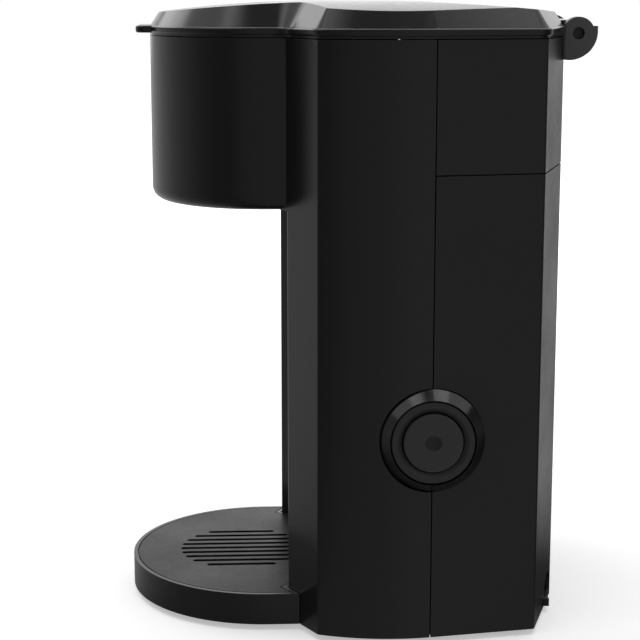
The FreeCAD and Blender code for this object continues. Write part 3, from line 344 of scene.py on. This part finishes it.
def silicone(name, color):
    """Milky silicone that lets a little light in."""
    material, tree = new_material(name)
    clouds = noise(tree, scale=70.0, detail=3.0, roughness=0.6)
    surface(tree, {
        "Base Color": mix_colors(tree, clouds, tint(color, gain=0.86), color),
        "Roughness": remap(tree, clouds, NOISE_RANGE, (0.34, 0.5)),
        "Subsurface Weight": 0.2,
        "Subsurface Radius": (0.002, 0.0015, 0.001),
        "Normal": bump(tree, noise(tree, scale=500.0), strength=0.25, depth=0.00003),
    })
    return material


def woven(name, color):
    """Sleeve of a fine chequered weave."""
    material, tree = new_material(name)
    checks = add_node(tree, "ShaderNodeTexChecker", {
        "Vector": object_place(tree),
        "Scale": 1800.0,
    })
    weave = checks.outputs["Fac"]
    surface(tree, {
        "Base Color": mix_colors(tree, weave, tint(color, gain=0.7), color),
        "Roughness": remap(tree, noise(tree, scale=200.0), NOISE_RANGE, (0.75, 0.92)),
        "Normal": bump(tree, weave, strength=0.5, depth=0.0001),
    })
    return material


def slot_finishes():
    """Material of each slot but button_black, whose nodes all have finishes of their own."""
    coarse = {"grain": 900.0, "grain_depth": 0.00002, "edges": False}
    return {
        "body_black": plastic("body_black", BLACK, rough=0.2),
        # Painted sheen: the hinge lugs get a paler colour in place of the reflection they catch
        "tank_black": plastic("tank_black", BLACK, rough=0.36, painted_patch=(painted_sheen_on_lugs, LUG_PAINTED_SHEEN)),
        "lid_black": plastic("lid_black", BLACK, rough=0.19),
        "base_black": plastic("base_black", (0.011, 0.011, 0.0115), rough=0.28),
        "grid_black": plastic("grid_black", BLACK, rough=0.42, specular=0.3),
        "ring_black": plastic("ring_black", (0.016, 0.016, 0.0165), rough=0.36),
        "inner_black": plastic("inner_black", (0.012, 0.012, 0.0125), rough=0.42, **coarse),
        "switch_case": plastic("switch_case", (0.02, 0.02, 0.02), rough=0.45, **coarse),
        "carrier_plastic": plastic("carrier_plastic", (0.025, 0.025, 0.025), rough=0.48, **coarse),
        "block_white": plastic("block_white", (0.72, 0.72, 0.69), rough=0.4, **coarse),
        "board_green": plastic("board_green", (0.015, 0.1, 0.035), rough=0.3, grain=1200.0,
                               edges=False),
        "soft_seal": rubber("soft_seal", (0.3, 0.3, 0.31), rough=0.5),
        "lead_cover": rubber("lead_cover", (0.68, 0.68, 0.66), rough=0.5),
        "foot_rubber": rubber("foot_rubber", RUBBER_BLACK),
        "gland_rubber": rubber("gland_rubber", RUBBER_BLACK),
        "hose_silicone": silicone("hose_silicone", (0.72, 0.71, 0.67)),
        "fuse_sleeve": woven("fuse_sleeve", (0.78, 0.76, 0.69)),
        "filter_mesh": mesh_metal("filter_mesh", (0.5, 0.49, 0.47), pitch=0.0009),
        "pin_steel": metal("pin_steel", (0.06, 0.06, 0.062), rough=0.36, stretch=(1.0, 0.1, 0.1)),
        "screw_steel": metal("screw_steel", STEEL, rough=0.32, stretch=(1.0, 1.0, 0.2)),
        "clip_steel": metal("clip_steel", STEEL, rough=0.3, stretch=(1.0, 1.0, 0.2)),
        "stat_can": metal("stat_can", STEEL, rough=0.3, stretch=(1.0, 1.0, 0.2)),
        "heater_cast": metal("heater_cast", (0.68, 0.68, 0.69), rough=0.42,
                             stretch=(1.0, 0.1, 1.0)),
        "element_steel": metal("element_steel", (0.42, 0.41, 0.39), rough=0.45,
                               stretch=(1.0, 0.2, 1.0)),
        "sheet_steel": metal("sheet_steel", (0.55, 0.55, 0.56), rough=0.36,
                             stretch=(0.15, 1.0, 1.0)),
    }


def node_finishes():
    """Materials of the nodes that differ from the rest of their slot."""
    return {
        "rear_housing": plastic("rear_black", BLACK, rough=0.36),
        "button_bezel": plastic("bezel_black", BLACK, rough=0.17),
        # Painted shade: the finger dimple of the cap is coloured darker than the rest
        "button_cap": plastic("cap_black", (0.022, 0.022, 0.0225), rough=0.34,
                              painted_patch=(painted_shade_in_dimple, BLACK)),
        "port_seal": rubber("port_rubber", (0.02, 0.02, 0.02), rough=0.5),
    }


def dress():
    """Give every node its finish, with smooth bends and sharp edges."""
    by_slot = slot_finishes()
    by_node = node_finishes()
    for part in frame["record"]["subparts"]:
        node = part["node"]
        material = by_node[node] if node in by_node else by_slot[part["material_slot"]]
        data = frame["nodes"][node].data
        data.materials.clear()
        data.materials.append(material)
        for polygon in data.polygons:
            polygon.material_index = 0
        data.shade_smooth()
        widest = ROUND_ANGLE if node in ROUND_NODES else SMOOTH_ANGLE
        data.set_sharp_from_angle(angle=math.radians(widest))


def add_object(name, data):
    piece = bpy.data.objects.new(name, data)
    bpy.context.scene.collection.objects.link(piece)
    return piece


def stage_piece(name, points, faces):
    """Piece of the stage, which isn't part of the object."""
    data = bpy.data.meshes.new(name)
    data.from_pydata(points, [], faces)
    piece = add_object(name, data)
    return piece


def background_ray(tree):
    """1 for rays that should see the plain white background."""
    path = tree.nodes.new("ShaderNodeLightPath").outputs
    seen = math_node(tree, "ADD", path["Is Camera Ray"], path["Is Glossy Ray"])
    seen = math_node(tree, "ADD", seen, path["Is Transmission Ray"])
    return math_node(tree, "MINIMUM", seen, 1.0)


def floor():
    """Pale floor, lifted to white away from the object."""
    signs = [(-1, -1), (1, -1), (1, 1), (-1, 1)]
    corners = [(x * FLOOR_HALF, y * FLOOR_HALF, 0.0) for x, y in signs]
    piece = stage_piece("floor", corners, [(0, 1, 2, 3)])
    material, tree = new_material("floor")
    away = vector_math(tree, "LENGTH", object_place(tree))
    lift = remap(tree, away, LIFT_BETWEEN, LIFT_LEVELS)
    surface(tree, {
        "Base Color": FLOOR_GREY,
        "Roughness": 1.0,
        "Specular IOR Level": 0.0,
        "Emission Color": WHITE,
        "Emission Strength": math_node(tree, "MULTIPLY", background_ray(tree), lift),
    })
    piece.data.materials.append(material)


def fade(tree, turn, ends):
    """0 at the first direction, 1 at the second."""
    return remap(tree, turn, [math.radians(end) for end in ends])


def drum_glow():
    """Glow that changes with direction, clear where the drum is open."""
    material, tree = new_material("flag")
    axes = object_axes(tree)
    turn = math_node(tree, "ARCTAN2", axes["Y"], axes["X"])
    around = remap(tree, turn, (-math.pi, math.pi))
    ramp = add_node(tree, "ShaderNodeValToRGB", {"Fac": around})
    stops = ramp.color_ramp.elements
    while len(stops) > 1:
        stops.remove(stops[-1])
    for index, (direction, level) in enumerate(DRUM_LEVELS):
        position = 0.5 + direction / 360
        stop = stops[0] if index == 0 else stops.new(position)
        stop.position = position
        stop.color = (level, level, level, 1.0)
    above = math_node(tree, "GREATER_THAN", axes["Z"], DRUM_HIGH - TOP_DEPTH)
    below = math_node(tree, "SUBTRACT", 1.0, above)
    top = math_node(tree, "MULTIPLY", *[fade(tree, turn, ends) for ends in TOP_FADES])
    solid_top = math_node(tree, "MULTIPLY", above, top)
    solid_wall = math_node(tree, "MULTIPLY", below, fade(tree, turn, WALL_FADE))
    solid = math_node(tree, "ADD", solid_top, solid_wall)
    clear = tree.nodes.new("ShaderNodeBsdfTransparent")
    glow = add_node(tree, "ShaderNodeEmission", {"Color": ramp.outputs["Color"]})
    mixed_output(tree, "ShaderNodeOutputMaterial", solid,
                 clear.outputs["BSDF"], glow.outputs["Emission"])
    return material


def flag():
    """Grey drum round the stage, which only reflections show.

    Its floor and wall are open in a sector behind the object, and its top is closed only on
    the camera's side.
    """
    rings = [(PINHOLE_R, DRUM_LOW), (DRUM_R, DRUM_LOW), (DRUM_R, DRUM_HIGH), (PINHOLE_R, DRUM_HIGH)]
    points = []
    for radius, height in rings:
        for step in range(DRUM_STEPS):
            turn = 2 * math.pi * step / DRUM_STEPS
            points.append((radius * math.cos(turn), radius * math.sin(turn), height))
    faces = []
    for ring in range(len(rings) - 1):
        first = ring * DRUM_STEPS
        for step in range(DRUM_STEPS):
            here = first + step
            beside = first + (step + 1) % DRUM_STEPS
            faces.append((here, beside, beside + DRUM_STEPS, here + DRUM_STEPS))
    piece = stage_piece("flag", points, faces)
    piece.visible_camera = False
    piece.visible_diffuse = False
    piece.visible_shadow = False
    piece.data.materials.append(drum_glow())


def soft_light(name, at, toward, width, height, power):
    data = bpy.data.lights.new(name, "AREA")
    data.shape = "RECTANGLE"
    data.size = width
    data.size_y = height
    data.energy = power
    lamp = add_object(name, data)
    lamp.location = at
    lamp.rotation_euler = (Vector(toward) - Vector(at)).to_track_quat("-Z", "Y").to_euler()
    lamp.visible_camera = False


def background(tree, strength):
    node = add_node(tree, "ShaderNodeBackground", {"Color": WHITE, "Strength": strength})
    return node.outputs["Background"]


def studio():
    """Soft light from the world, which looks white, and three soft lamps."""
    world = bpy.data.worlds.new("studio")
    bpy.context.scene.world = world
    tree = empty_tree(world)
    light = background(tree, WORLD_LIGHT)
    white = background(tree, WORLD_WHITE)
    mixed_output(tree, "ShaderNodeOutputWorld", background_ray(tree), light, white)
    soft_light("overhead", at=(0.0, 0.0, 1.5), toward=(0.0, 0.0, 0.0),
               width=1.6, height=1.6, power=11.0)
    soft_light("rim", at=(-1.1, -1.1, 1.1), toward=(0.0, 0.0, 0.24),
               width=1.1, height=0.7, power=5.5)
    soft_light("behind", at=(-1.5, 0.1, 0.55), toward=(0.0, 0.0, 0.2),
               width=1.8, height=0.8, power=2.2)


def camera():
    data = bpy.data.cameras.new("camera")
    data.lens = CAMERA_LENS
    data.sensor_width = CAMERA_SENSOR
    data.clip_start = CAMERA_NEAR
    data.clip_end = CAMERA_FAR
    piece = add_object("camera", data)
    piece.location = CAMERA_AT
    piece.rotation_euler = (math.radians(CAMERA_TILT), 0.0, math.radians(CAMERA_TURN))
    bpy.context.scene.camera = piece


dress()
floor()
flag()
studio()
camera()
bpy.context.scene.view_settings.view_transform = "Standard"
